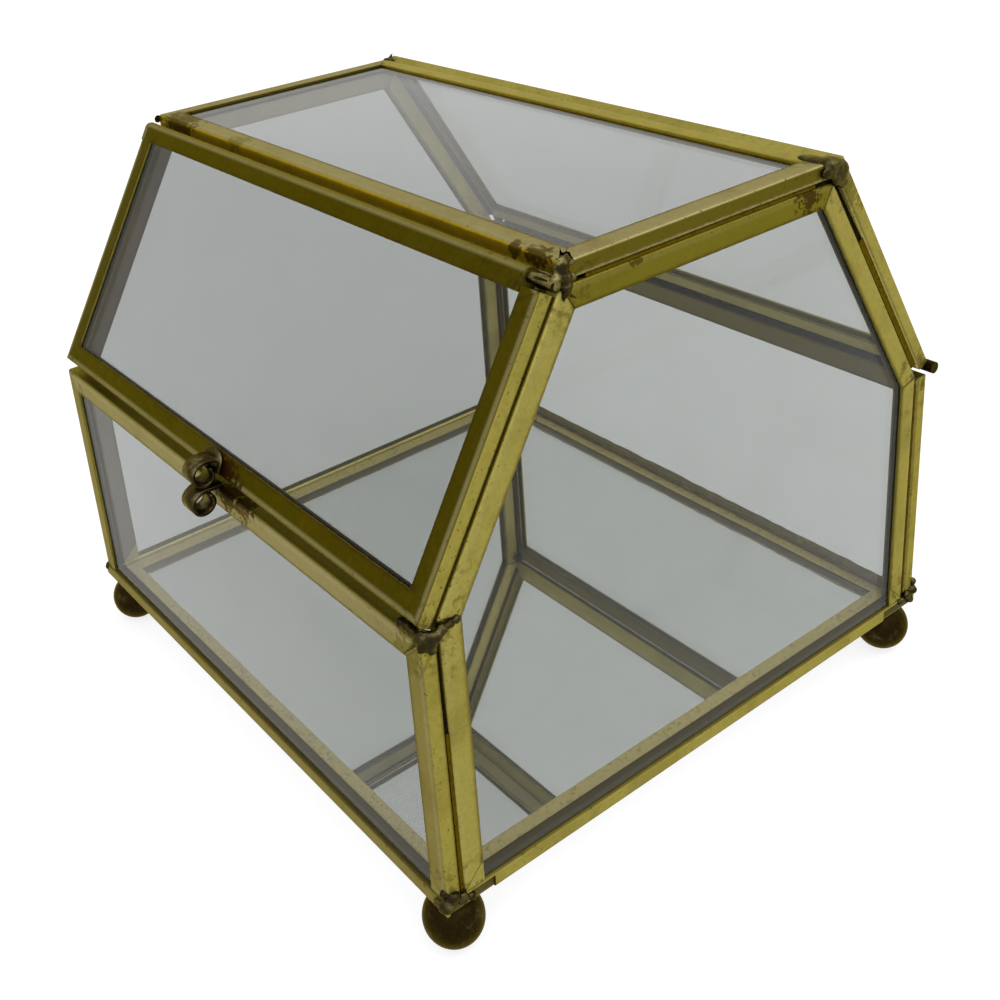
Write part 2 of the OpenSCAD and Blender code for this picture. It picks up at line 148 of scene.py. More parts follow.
# Shaders
class Shade:
    """A material's node tree, with short calls that add a node and return its output."""

    def __init__(self, name):
        self.material = bpy.data.materials.new(name)
        self.material.use_nodes = True
        self.tree = self.material.node_tree
        self.tree.nodes.clear()
        self.end = self.add("ShaderNodeOutputMaterial")
        place = self.add("ShaderNodeTexCoord")
        self.normal = place.outputs["Normal"]
        self.mm = self.vector("SCALE", place.outputs["Object"], scale=1 / MM)

    def add(self, kind, **settings):
        node = self.tree.nodes.new(kind)
        for key, value in settings.items():
            setattr(node, key, value)
        return node

    def put(self, socket, value):
        """Links an output to a socket, or writes a plain value on it."""
        if isinstance(value, bpy.types.NodeSocket):
            self.tree.links.new(value, socket)
        elif isinstance(value, tuple) and socket.type == "RGBA" and len(value) == 3:
            socket.default_value = (*value, 1)
        else:
            socket.default_value = value

    def math(self, operation, *values):
        node = self.add("ShaderNodeMath", operation=operation)
        for socket, value in zip(node.inputs, values):
            self.put(socket, value)
        return node.outputs[0]

    def fold(self, operation, values):
        """One value out of several, such as their MINIMUM or their product with MULTIPLY."""
        first, *rest = values
        for value in rest:
            first = self.math(operation, first, value)
        return first

    def product(self, *values):
        return self.fold("MULTIPLY", values)

    def vector(self, operation, *values, scale=None):
        node = self.add("ShaderNodeVectorMath", operation=operation)
        for socket, value in zip(node.inputs, values):
            self.put(socket, value)
        if scale is not None:
            self.put(node.inputs["Scale"], scale)
        return node.outputs["Value" if operation in ("DOT_PRODUCT", "DISTANCE") else "Vector"]

    def facing(self, direction):
        """How far the surface faces a direction, from -1 to 1."""
        return self.vector("DOT_PRODUCT", self.normal, tuple(direction))

    def along(self, direction):
        """Place along a direction, in millimetres."""
        return self.vector("DOT_PRODUCT", self.mm, tuple(direction))

    def rise(self, value, start, stop):
        """0 below start and 1 above stop, smooth in between; falls if stop is below start."""
        node = self.add("ShaderNodeMapRange", interpolation_type="SMOOTHSTEP")
        low, high = min(start, stop), max(start, stop)
        ends = (0, 1) if start < stop else (1, 0)
        for socket, item in zip(node.inputs, (value, low, high, *ends)):
            self.put(socket, item)
        return node.outputs[0]

    def noise(self, size, detail=2.0, rough=0.5, seed=0.0):
        """Noise from 0 to 1 whose features are about size mm across."""
        place = self.mm
        if seed:
            place = self.vector("ADD", place, (seed * 37.1, seed * 17.3, seed * 71.7))
        node = self.add("ShaderNodeTexNoise")
        self.put(node.inputs["Vector"], place)
        self.put(node.inputs["Scale"], 1 / size)
        self.put(node.inputs["Detail"], detail)
        self.put(node.inputs["Roughness"], rough)
        return node.outputs["Fac"]

    def mix(self, share, first, second):
        node = self.add("ShaderNodeMix", data_type="RGBA")
        for name, value in (("Factor_Float", share), ("A_Color", first), ("B_Color", second)):
            self.put(next(i for i in node.inputs if i.identifier == name), value)
        return next(o for o in node.outputs if o.identifier == "Result_Color")

    def bump(self, height, depth_mm, strength, below=None):
        node = self.add("ShaderNodeBump")
        self.put(node.inputs["Strength"], strength)
        self.put(node.inputs["Distance"], depth_mm * MM)
        self.put(node.inputs["Height"], height)
        if below:
            self.put(node.inputs["Normal"], below)
        return node.outputs[0]

    def surface(self, colour, roughness, normal=None, metal=1.0, **others):
        """A Principled surface. Other sockets go by name, with _ for a space."""
        node = self.add("ShaderNodeBsdfPrincipled")
        self.put(node.inputs["Base Color"], colour)
        self.put(node.inputs["Roughness"], roughness)
        self.put(node.inputs["Metallic"], metal)
        if normal:
            self.put(node.inputs["Normal"], normal)
        for key, value in others.items():
            self.put(node.inputs[key.replace("_", " ")], value)
        return node.outputs[0]

    def blend(self, share, first, second):
        node = self.add("ShaderNodeMixShader")
        self.put(node.inputs[0], share)
        self.put(node.inputs[1], first)
        self.put(node.inputs[2], second)
        return node.outputs[0]

    def lamps_through(self, shader, colour=(1, 1, 1)):
        """The shader, but let lamps shine through it in a colour."""
        through = self.add("ShaderNodeBsdfTransparent")
        self.put(through.inputs[0], colour)
        path = self.add("ShaderNodeLightPath")
        return self.blend(path.outputs["Is Shadow Ray"], shader, through.outputs[0])

    def done(self, shader):
        self.put(self.end.inputs["Surface"], shader)
        return self.material


# The panels' outlines, taken from the frame
def corners(node):
    return [v.co.copy() for v in nodes[node].data.vertices]


def box_mm(node):
    """A node's box, as its lowest and highest corner in millimetres."""
    low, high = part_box(node)
    return low / MM, high / MM


def outward(glass):
    """Outward normal of a pane."""
    mesh = nodes[glass].data
    broad = max(mesh.polygons, key=lambda p: p.area)
    middle = sum(corners(glass), Vector()) / len(mesh.vertices)
    low, high = cad_box
    away = middle - (low + high) / 2
    return broad.normal.copy() if broad.normal.dot(away) > 0 else -broad.normal


def straightened(ring):
    """An outline without points closer than 1 mm to the last one or on a straight run."""
    kept = [p for i, p in enumerate(ring) if (p - ring[i - 1]).length > 1 * MM]
    result = []
    for i, p in enumerate(kept):
        before = (p - kept[i - 1]).normalized()
        after = (kept[(i + 1) % len(kept)] - p).normalized()
        if before.dot(after) < math.cos(math.radians(5)):
            result.append(p)
    return result


class Panel:
    """A flat side of the box: its outward normal, and its edges as inward directions with offsets."""

    def __init__(self, came, glass):
        self.out = outward(glass)
        level = Vector((0, 1, 0)) if abs(self.out.x) > 0.5 else Vector((1, 0, 0))
        self.up = self.out.cross(level)
        if self.up.z < 0 or (abs(self.up.z) < 0.01 and self.up.y < 0):
            self.up = -self.up
        flat = [Vector((p.dot(level), p.dot(self.up))) for p in corners(came)]
        ring = straightened([flat[i] for i in geometry.convex_hull_2d(flat)])
        middle = sum(ring, Vector((0, 0))) / len(ring)
        self.edges = []
        for a, b in zip(ring, ring[1:] + ring[:1]):
            side = Vector((a.y - b.y, b.x - a.x)).normalized()
            if side.dot(middle - a) < 0:
                side = -side
            inward = level * side.x + self.up * side.y
            self.edges.append((inward, side.dot(a) / MM))

    def edge(self, towards):
        """Number of the edge that lies towards a direction."""
        return min(range(len(self.edges)), key=lambda i: self.edges[i][0].dot(Vector(towards)))


SIDES = ("front", "rear", "left", "right", "roof", "rear_slope", "door")
PANELS = {side: Panel(f"{side}_came", f"{side}_glass") for side in SIDES}
PANELS["base"] = Panel("base_came", "base_mirror")
PANELS["base"].out = Vector(UP)
for side, panel in PANELS.items():
    panel.top = max(p.dot(panel.out) for p in corners(f"{side}_came")) / MM
DOOR = PANELS["door"]
DOORWARD = tuple(DOOR.out)


# Index of refraction of the panes, of the two that are seen at a slant and would show glare with
# more, and of the mirror
PANE_IOR = 1.24
SLANT_IOR = 1.15
MIRROR_IOR = 1.45

# The mirror's silvering and the ends of the scratch on it, in mm
FILM = 0.01
SCRATCH = ((7.0, -1.0, 12.35), (15.5, -5.5, 12.35))


# Materials
class Strip:
    """Where a point of a panel's came lies, as shader values.

    front, behind and flat are 1 on the flange outside, inside and on either. The others are in mm: how
    far the point is sunk below the panel's face, its gaps to the panel's edges, and how far it is from
    the nearest edge, corner and mitre line.
    """

    def __init__(self, s, panel):
        facing = s.facing(panel.out)
        self.front = s.rise(facing, 0.55, 0.8)
        self.behind = s.rise(facing, -0.55, -0.8)
        self.flat = s.math("MAXIMUM", self.front, self.behind)
        self.sunk = s.math("SUBTRACT", panel.top, s.along(panel.out))
        self.gaps = [s.math("SUBTRACT", s.along(inward), offset) for inward, offset in panel.edges]
        pairs = list(zip(self.gaps, self.gaps[1:] + self.gaps[:1]))
        self.edge = s.fold("MINIMUM", self.gaps)
        self.corner = s.fold("MINIMUM", [s.math("MAXIMUM", a, b) for a, b in pairs])
        uneven = [s.math("ABSOLUTE", s.math("SUBTRACT", a, b)) for a, b in pairs]
        self.mitre = s.fold("MINIMUM", uneven)


def side_tones(s, strip, panel, tones, lit_and_shaded_bands):
    """Tone of the flange, of the web and of the side within the box, with single edges in their own:
    painted light and shade by the side that each faces.
    """
    for towards, part, colour in lit_and_shaded_bands:
        number = panel.edge(towards)
        if part == "web":
            inward = panel.edges[number][0]
            share = s.rise(s.facing(-inward), 0.5, 0.75)
        else:
            share = s.rise(s.math("SUBTRACT", strip.gaps[number], strip.edge), 0.25, 0.1)
        tones[part] = s.mix(share, tones[part], colour)
    tone = s.mix(strip.behind, tones["web"], tones["back"])
    return s.mix(strip.front, tone, tones["face"])


def fold_lines(s, strip, tone, fine, fold, far_fold_paint):
    """The web's far fold takes the given tone: painted shade when brown, a painted highlight when light.
    The flange takes painted shade where it meets the glass and a painted highlight at its fold.
    """
    # The web's far fold: painted shade when brown, painted highlight when light
    lines = s.rise(s.math("ADD", strip.sunk, s.product(fine, 0.6)), 2.3, 3.0)
    tone = s.mix(s.product(lines, 0.55 if far_fold_paint == BROWN else 0.9), tone, far_fold_paint)
    # Painted shade along the flange's inner edge, where it meets the glass
    inner = s.rise(s.math("ADD", strip.edge, s.product(fine, 0.8)), 3.5, 4.4)
    tone = s.mix(s.product(inner, strip.flat, 0.65), tone, BROWN)
    # Painted highlight on the flange's rolled fold
    fold_highlight = s.product(s.rise(strip.edge, 1.4, 0.7), s.rise(strip.edge, 0.1, 0.6))
    return s.mix(s.product(fold_highlight, strip.front, fold), tone, PAINTED_HIGHLIGHT)


def stained(s, tone, fine, stains):
    """Ragged stains: (place in mm, reach in mm, colour, share)."""
    for point, reach, colour, share in stains:
        away = s.vector("DISTANCE", s.mm, tuple(point))
        ragged = s.math("ADD", away, s.product(s.math("SUBTRACT", fine, 0.5), reach * 4))
        tone = s.mix(s.product(s.rise(ragged, reach * 1.1, reach * 0.8), share), tone, colour)
    return tone


def brass(name, panel, face, web, back, seed, dark=0.3, lit_and_shaded_bands=(), stains=(), fold=0.25, far_fold_paint=BROWN,
          back_metal=0.15, mitre=0.7):
    """Folded brass sheet, whose flange, web and rear side have their own tone, partly painted light and
    shade.

    The bands give single edges another tone, painted light and shade: (towards, "face", "web" or
    "back", colour). dark is the share of tarnish, the web's far fold takes painted shade when its tone is
    brown and a painted highlight when it is light, back_metal says how metallic the rear side is, and
    fold and mitre say how clear the painted highlight on the fold and the dark mitre line are.
    """
    s = Shade(name)
    strip = Strip(s, panel)
    fine = s.noise(1.1, 4, 0.65, seed=seed + 5)
    tones = {"face": face, "web": web, "back": back}
    tone = side_tones(s, strip, panel, tones, lit_and_shaded_bands)
    tone = fold_lines(s, strip, tone, fine, fold, far_fold_paint)

    # Broad tarnish, then brown patches and pits near the corners, and the dark mitre line
    coarse = s.noise(14, 3, 0.6, seed=seed)
    tone = s.mix(s.product(s.rise(coarse, 0.45, 0.70), dark), tone, OLIVE)
    warm = s.noise(7, 3, 0.6, seed=seed + 3)
    tone = s.mix(s.product(s.rise(warm, 0.55, 0.80), 0.35), tone, AMBER)
    close = s.rise(strip.corner, 10, 1.5)
    patch = s.product(close, s.rise(s.noise(2.6, 4, 0.7, seed=seed + 7), 0.50, 0.66))
    tone = s.mix(s.product(patch, 0.55), tone, BROWN)
    pits = s.rise(s.noise(0.6, 3, 0.6, seed=seed + 9), 0.63, 0.70)
    worn = s.math("MAXIMUM", close, s.product(s.rise(strip.edge, 1.1, 0.3), 0.8))
    pits = s.product(pits, s.math("ADD", s.product(worn, 0.75), 0.2))
    tone = s.mix(pits, tone, BROWN)
    mottle = s.rise(s.noise(0.9, 5, 0.75, seed=seed + 17), 0.40, 0.70)
    tone = s.mix(s.product(mottle, 0.22), tone, OLIVE)
    seam = s.product(s.rise(strip.mitre, 0.2, 0.05), s.rise(strip.corner, 4.2, 3.6), strip.flat)
    tone = s.mix(s.product(seam, mitre), tone, BROWN)
    tone = stained(s, tone, fine, stains)

    # Uneven gloss, shallow dents and fine marks
    smear = s.noise(4.5, 4, 0.65, seed=seed + 13)
    rough = s.math("ADD", 0.36, s.product(smear, 0.18))
    rough = s.math("ADD", rough, s.product(patch, 0.2))
    dents = s.bump(s.noise(6, 2, 0.5, seed=seed + 15), 0.22, 0.6)
    grain = s.noise(0.35, 3, 0.6, seed=seed + 11)
    marks = s.math("SUBTRACT", s.product(grain, 0.25), s.math("ADD", pits, seam))
    normal = s.bump(marks, 0.06, 0.7, below=dents)
    metal = s.math("SUBTRACT", 1.0, s.product(strip.behind, 1.0 - back_metal))
    return s.done(s.surface(tone, rough, normal, metal=metal, Specular_Tint=EDGE_TINT))


def dull_metal(name, colour, worn, seed, rough=0.36, lump=0.12, dirt=BROWN, painted_top_light=0.0, metal=1.0):
    """Cast or drawn metal with a patina that is lighter in random patches, and painted light that makes
    it lighter where it faces up.

    worn is the lighter tone, also the tone of the painted light, lump the depth of its broad relief
    in mm and dirt the tone of its specks. The share of painted light says how much brighter it is where
    it faces up.
    """
    s = Shade(name)
    broad = s.noise(2.4, 4, 0.65, seed=seed)
    fine = s.noise(0.6, 4, 0.6, seed=seed + 2)
    # Painted light: towards the worn tone where the surface faces up
    up = s.product(s.facing((0.3, -0.2, 0.9)), painted_top_light)
    tone = s.mix(s.rise(s.math("ADD", broad, up), 0.50, 0.78), colour, worn)
    tone = s.mix(s.product(s.rise(fine, 0.52, 0.68), 0.6), tone, dirt)
    spread = s.math("ADD", rough, s.product(fine, 0.22))
    low = s.bump(broad, lump, 0.8)
    normal = s.bump(fine, 0.05, 0.6, below=low)
    return s.done(s.surface(tone, spread, normal, metal=metal, Specular_Tint=EDGE_TINT))


def glass(name, panel, tint, seed, ior):
    """A grey pane with faint smears, its grey painted shade, and cut edges painted dark as shade. Lamps
    shine through it.
    """
    s = Shade(name)
    smear = s.rise(s.noise(16, 4, 0.6, seed=seed), 0.45, 0.8)
    tone = s.mix(s.product(smear, 0.5), tint, scaled(tint, 0.94))
    clear = s.surface(tone, 0.0, metal=0.0, Transmission_Weight=1.0, IOR=ior)
    clear = s.lamps_through(clear, LAMP_SHARE)
    # Painted shade: the cut edges are dark
    cut_edge_shade = s.mix(s.noise(0.8, 3, 0.6, seed=seed + 2), PANE_EDGE, scaled(PANE_EDGE, 2.5))
    cut = s.surface(cut_edge_shade, 0.6, metal=0.0, Specular_IOR_Level=0.1)
    broad = s.math("ABSOLUTE", s.facing(panel.out))
    return s.done(s.blend(s.rise(broad, 0.7, 0.4), clear, cut))


def scratch_share(s, start, stop):
    """A slightly wavy hairline on the mirror between two places in mm."""
    start, stop = Vector(start), Vector(stop)
    run = (stop - start).normalized()
    across = Vector((-run.y, run.x, 0))
    wave = s.product(s.math("SUBTRACT", s.noise(4, 2, 0.5, seed=4), 0.5), 2.0)
    off = s.math("SUBTRACT", s.along(across), across.dot(start))
    off = s.math("ABSOLUTE", s.math("ADD", off, wave))
    level = s.along(run)
    begun = s.rise(level, run.dot(start), run.dot(start) + 1)
    ended = s.rise(level, run.dot(stop), run.dot(stop) - 3)
    return s.product(s.rise(off, 0.16, 0.05), begun, ended)


def mirror_glass(name):
    """Clear glass silvered on its underside, with a hairline scratch."""
    s = Shade(name)
    underside = box_mm("base_mirror")[0].z
    scratch = scratch_share(s, *SCRATCH)
    clear = s.surface(CLEAR_GLASS, 0.0, metal=0.0, Transmission_Weight=1.0, IOR=MIRROR_IOR)
    clear = s.lamps_through(clear)
    clear = s.blend(s.product(scratch, 0.45), clear, s.surface(OLIVE, 0.6, metal=0.0))
    blotch = s.noise(5, 4, 0.6, seed=8)
    silver = s.surface(s.mix(s.rise(blotch, 0.4, 0.8), SILVER, scaled(SILVER, 0.97)), 0.004)
    lined = s.blend(s.rise(s.along(UP), underside + 2 * FILM, underside + FILM), clear, silver)
    cut = s.surface(s.mix(blotch, BROWN, OLIVE), 0.6, metal=0.0, Specular_IOR_Level=0.1)
    broad = s.math("ABSOLUTE", s.facing(UP))
    return s.done(s.blend(s.rise(broad, 0.7, 0.4), lined, cut))


def paint(material, *names):
    for name in names:
        for slot in nodes[name].material_slots:
            slot.material = material


# Each came's tones. The flange, web and back tones and the bands on single edges are partly
# the brass's own tone and partly painted light and shade, lighter or darker by the side that each
# faces. Stains lie where the photograph shows them, as places in the frame.
METALS = {
    "front": dict(
        face=TAN, web=WARM_OLIVE, back=PAINTED_LIGHT_WITHIN, dark=0.25, seed=1.0,
        lit_and_shaded_bands=((RIGHT, "web", GOLD), (UP, "face", PALE)),
        stains=(((6.5, -55.4, 60.4), 3.6, STAIN, 1.0), ((11.5, -55.4, 60.6), 3.2, STAIN, 0.9),
                ((58.0, -55.4, 57.0), 3.0, OLIVE, 0.6))),
    "rear": dict(
        face=BRIGHT, web=GOLD, back=PAINTED_DIM_WITHIN, seed=2.0,
        lit_and_shaded_bands=((UP, "back", PAINTED_BROWN_WITHIN), (LEFT, "back", PAINTED_SHADE_WITHIN))),
    "left": dict(
        face=BRIGHT, web=BRIGHT, back=PAINTED_LIGHT_WITHIN, dark=0.35, seed=3.0,
        lit_and_shaded_bands=((DOORWARD, "back", PAINTED_SHADE_WITHIN), (FRONT, "back", PAINTED_GREY_WITHIN),
               (UP, "back", PAINTED_DIM_WITHIN))),
    "right": dict(
        face=BRIGHT, web=BRIGHT, back=PAINTED_LIGHT_WITHIN, seed=4.0, fold=0.12,
        lit_and_shaded_bands=((UP, "face", YELLOW_OLIVE), (UP, "web", OLIVE)),
        stains=(((61.5, 24.5, 103.6), 2.8, BROWN, 0.9), ((61.5, -13.0, 104.0), 0.9, BROWN, 0.7))),
    # The roof's web has a painted highlight on its far fold
    "roof": dict(
        face=PALE, web=OLIVE, back=PAINTED_LIGHT_WITHIN, dark=0.25, seed=5.0, fold=0.15, far_fold_paint=PAINTED_HIGHLIGHT,
        lit_and_shaded_bands=((FRONT, "web", BRIGHT_AMBER), (REAR, "face", BRIGHT)),
        stains=(((-53.0, -26.0, 107.0), 5.5, BROWN, 0.85), ((51.0, -26.2, 107.0), 1.5, BROWN, 0.8),
                ((55.5, -25.8, 107.4), 2.2, BROWN, 0.85), ((-30.0, -25.5, 107.7), 2.5, OLIVE, 0.6))),
    "rear_slope": dict(
        face=BRIGHT, web=BRIGHT, back=PAINTED_LIGHT_WITHIN, seed=6.0,
        stains=(((61.5, 33.5, 101.5), 4.5, OLIVE, 0.6),)),
    # The door's dark flange is painted reflection of the dark surroundings
    "door": dict(
        face=DARK_OLIVE, web=WARM_OLIVE, back=PAINTED_LIGHT_WITHIN, dark=0.15, seed=7.0, fold=0.4, mitre=0.35,
        lit_and_shaded_bands=((RIGHT, "web", GOLD), (LEFT, "face", BROWN_OLIVE), (LEFT, "web", OLIVE)),
        stains=(((5.8, -55.2, 63.0), 3.4, STAIN, 1.0), ((9.5, -55.4, 61.8), 2.6, STAIN, 0.9))),
    # The base's dark flange is painted shade under the panes' edges
    "base": dict(
        face=SHADED_FLANGE_TONE, web=BRIGHT, back=SHADOW, seed=8.0, fold=0.0, back_metal=1.0,
        lit_and_shaded_bands=((FRONT, "web", TAN), (REAR, "face", PAINTED_LIGHT_WITHIN), (LEFT, "face", PAINTED_LIGHT_WITHIN))),
}
for side, look in METALS.items():
    paint(brass(f"{side}_came_metal", PANELS[side], **look), f"{side}_came")

# Each pane's share of the tint, painted reflection: the same glass lighter or darker pane by pane
PANE_PAINTED_REFLECTION = dict(front=1.01, rear=1.0, left=0.91, right=1.08, roof=0.89, rear_slope=1.0, door=0.97)
for order, (side, share) in enumerate(PANE_PAINTED_REFLECTION.items()):
    ior = SLANT_IOR if side in ("front", "left") else PANE_IOR
    pane = glass(f"{side}_pane", PANELS[side], scaled(PANE_SHADE_TINT, share), 20.0 + order, ior)
    paint(pane, f"{side}_glass")
paint(mirror_glass("mirror_floor"), "base_mirror")

bronze = dull_metal("bronze_metal", BRONZE, BRONZE_WORN, 11)
solder = dull_metal("solder_metal", SOLDER, SOLDER_WORN_AND_TOP_LIGHT, 12, rough=0.20, lump=0.35, painted_top_light=0.12)
wax = dull_metal("seam_residue", AMBER, DARK_AMBER, 13, rough=0.5, lump=0.2)
catch_metal = dull_metal("catch_metal", CATCH, CATCH_WORN_AND_TOP_LIGHT, 14, rough=0.28, lump=0.05, painted_top_light=0.10)
border_metal = dull_metal("border_metal", BORDER, BORDER_WORN, 15, rough=0.45, lump=0.08, dirt=OLIVE,
                          metal=0.5)
# Painted shadow: a dark strip in the open top of some seams, where there is only shade
seam_shadow = dull_metal("seam_painted_shadow", SHADOW, SHADOW_MOTTLE, 16, rough=0.6, lump=0.2)
cement = dull_metal("pane_cement", CEMENT, CEMENT_PALE, 17, rough=0.6, lump=0.1, metal=0.2)
# The solder at the front right of the roof has more painted light on its upward faces
lit_solder = dull_metal("solder_with_painted_light", SOLDER, SOLDER_BRIGHT_AND_TOP_LIGHT, 18, rough=0.24, lump=0.3, painted_top_light=0.30)
paint(bronze, *(name for name in nodes if name.startswith("foot_") and name != "foot_solder"))
paint(bronze, "hinge_pin", "rear_waist_rod", "door_catch", "wall_catch")
paint(solder, "roof_solder", "waist_solder", "base_solder", "foot_solder")


# Pieces made here
def thing_of(name, bm, material, body, smooth=True):
    """Turns a bmesh into a named object that rides on a body."""
    bmesh.ops.recalc_face_normals(bm, faces=bm.faces)
    mesh = bpy.data.meshes.new(name)
    bm.to_mesh(mesh)
    bm.free()
    for face in mesh.polygons:
        face.use_smooth = smooth
    mesh.materials.append(material)
    thing = bpy.data.objects.new(name, mesh)
    bpy.context.scene.collection.objects.link(thing)
    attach(thing, body)
    return thing


def apply_modifiers(thing):
    """Bakes an object's modifiers into its mesh."""
    bpy.context.view_layer.update()
    seen = thing.evaluated_get(bpy.context.evaluated_depsgraph_get())
    mesh = bpy.data.meshes.new_from_object(seen)
    thing.modifiers.clear()
    thing.data = mesh


def join_rings(bm, rings):
    """Skins a row of rings of vertices and closes its ends."""
    for a, b in zip(rings, rings[1:]):
        for k in range(len(a)):
            bm.faces.new((a[k], a[k - 1], b[k - 1], b[k]))
    bm.faces.new(rings[0])
    bm.faces.new(list(reversed(rings[-1])))


# The space that the door swings through, in metres
HINGE = Vector(frame["joints"][0]["pos_m"])
DOOR_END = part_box("door_came")[1].x
DOOR_REACH = max(Vector((0, p.y - HINGE.y, p.z - HINGE.z)).length for p in corners("door_came"))
DOOR_BACK = 1.4 * MM
PIN_ROOM = 1.05 * MM
CLEAR = 0.4 * MM


def clear_of_door(p):
    """Moves a point out of the space that the door swings through."""
    if abs(p.x) > DOOR_END + CLEAR:
        return p
    away = Vector((0, p.y - HINGE.y, p.z - HINGE.z))
    behind = -away.dot(DOOR.out)
    if away.length < PIN_ROOM or away.length > DOOR_REACH + CLEAR or behind > DOOR_BACK + CLEAR:
        return p
    if away.length > DOOR_REACH / 2:
        out = away.normalized() * (DOOR_REACH + CLEAR)
        return Vector((p.x, HINGE.y + out.y, HINGE.z + out.z))
    return Vector((math.copysign(DOOR_END + CLEAR, p.x), p.y, p.z))


# Solder in mm: the grid on which it is melted together, the radius of a drawn-out tip, and the
# sizes of its broad and fine roughness
MELT = 0.26
TIP = 0.12
BROAD = 1.3
FINE = 0.5


def lumps(name, balls, spikes=(), grain=0.16, seed=0, material=solder):
    """Solder: balls (place, radii) and drawn-out spikes (base, tip, radius) melted into one rough skin.

    Places, radii and grain, the depth of its roughness, are in mm.
    """
    bm = bmesh.new()
    for place, radii in balls:
        radii = radii if isinstance(radii, tuple) else (radii,) * 3
        shape = Matrix.Translation(Vector(place) * MM) @ Matrix.Diagonal((*(r * MM for r in radii), 1))
        bmesh.ops.create_icosphere(bm, subdivisions=3, radius=1, matrix=shape)
    for base, tip, radius in spikes:
        base, tip = Vector(base) * MM, Vector(tip) * MM
        turn = (tip - base).to_track_quat("Z", "Y").to_matrix().to_4x4()
        shape = Matrix.Translation((base + tip) / 2) @ turn
        bmesh.ops.create_cone(bm, cap_ends=True, segments=10, radius1=radius * MM, radius2=TIP * MM,
                              depth=(tip - base).length, matrix=shape)
    thing = thing_of(name, bm, material, "box")
    melt = thing.modifiers.new("melt", "REMESH")
    melt.mode = "VOXEL"
    melt.voxel_size = MELT * MM
    soften = thing.modifiers.new("soften", "SMOOTH")
    soften.iterations = 2
    apply_modifiers(thing)
    low, high = cad_box
    offset = Vector((seed * 3.7, seed * 1.3, seed * 5.1))
    for v in thing.data.vertices:
        rough = noise.noise(v.co / (BROAD * MM) + offset)
        rough += 0.5 * noise.noise(v.co / (FINE * MM) + offset)
        moved = clear_of_door(v.co + v.normal * rough * grain * MM)
        v.co = [min(max(c, a), b) for c, a, b in zip(moved, low, high)]
    for face in thing.data.polygons:
        face.use_smooth = True
    return thing


def roof_lumps():
    """Solder on the roof's corners, at the front round the ends of the hinge pin."""
    hinge = HINGE / MM
    near = [
        ((60.8, -26.2, 108.2), 1.1), ((61.3, -27.1, 107.3), 1.35), ((61.8, -26.9, 105.9), 1.0),
        ((61.7, -26.6, 104.5), 0.85), ((61.6, -26.5, 103.4), 0.6), ((61.9, -28.4, 105.9), 0.85),
        ((61.7, -25.4, 105.4), 0.8), ((61.0, -24.9, 107.4), 0.7), ((61.9, -28.6, 105.1), 0.8),
        ((57.3, -25.85, 104.45), (3.8, 0.7, 1.0)), ((57.0, -25.9, 103.1), (3.6, 0.6, 1.0)),
        ((56.8, -25.9, 102.0), (3.4, 0.6, 1.0)), ((61.0, -26.9, 105.9), 1.45),
        ((61.3, -26.2, 104.2), 1.1),
    ]
    near += [((57.4 + 0.5 * i, hinge.y, hinge.z), 0.98) for i in range(9)]
    near_spikes = [
        ((61.2, -27.0, 108.6), (61.3, -27.0, 110.3), 0.42),
        ((61.7, -26.2, 103.3), (61.8, -24.2, 101.7), 0.34),
        ((61.7, -26.8, 103.4), (61.7, -26.9, 101.6), 0.34),
    ]
    far = [((-61.9, hinge.y, hinge.z), 0.8), ((-61.8, -27.4, 104.6), 0.7), ((-61.0, -26.6, 106.8), 0.8)]
    rear = [
        ((58.6, 29.2, 107.75), (3.2, 1.6, 0.5)), ((60.6, 30.2, 107.4), (2.0, 2.5, 0.95)),
        ((61.9, 29.4, 106.4), (0.6, 2.4, 1.2)), ((61.7, 31.6, 105.6), (0.8, 2.2, 2.2)),
        ((61.6, 32.6, 104.2), (0.6, 1.4, 1.4)),
    ]
    far_rear = [((-60.6, 30.6, 107.5), (1.5, 1.2, 0.6)), ((-61.4, 31.2, 106.6), (0.8, 1.0, 1.0))]
    far_rear_spikes = [((-61.0, 31.2, 107.6), (-61.8, 32.6, 108.7), 0.5)]
    made = [
        lumps("roof_lump_front_right", near, near_spikes, seed=1, material=lit_solder),
        lumps("roof_lump_front_left", far, seed=2),
        lumps("roof_lump_rear_right", rear, seed=3, grain=0.08),
        lumps("roof_lump_rear_left", far_rear, far_rear_spikes, seed=4, grain=0.1),
    ]
    for thing in made:
        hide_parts("roof_solder")


def waist_lumps():
    """Solder at the waist: round the front right corner, on the other corners, and on the rear rod."""
    near = [((56.0 + 1.3 * i, -54.5, 60.7), (1.1, 1.1, 0.9)) for i in range(4)]
    near += [
        ((61.0, -54.6, 60.6), 1.35), ((61.5, -53.3, 60.6), 1.25), ((61.6, -51.9, 61.2), 1.05),
        ((61.7, -50.5, 61.5), 0.8), ((61.7, -49.2, 61.6), 0.65), ((61.6, -53.9, 59.1), 0.95),
        ((61.5, -55.3, 59.7), 0.8),
    ]
    spikes = [((60.4, -55.5, 60.0), (57.9, -55.9, 57.2), 0.4)]
    made = [lumps("waist_lump_front_right", near, spikes, grain=0.22, seed=5)]
    for number, (x, y) in enumerate(((-58.2, -51.6), (-58.2, 55.6), (58.2, 55.6))):
        made.append(lumps(f"waist_lump_{number + 1}", [((x, y, 59.2), 1.3)], seed=6 + number))
    for number, x in enumerate((-60.2, -53.5, 53.5)):
        tack = [((x, 58.9, 60.8), (2.0, 0.9, 0.75))]
        made.append(lumps(f"rod_tack_{number + 1}", tack, seed=9 + number))
    for thing in made:
        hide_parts("waist_solder")


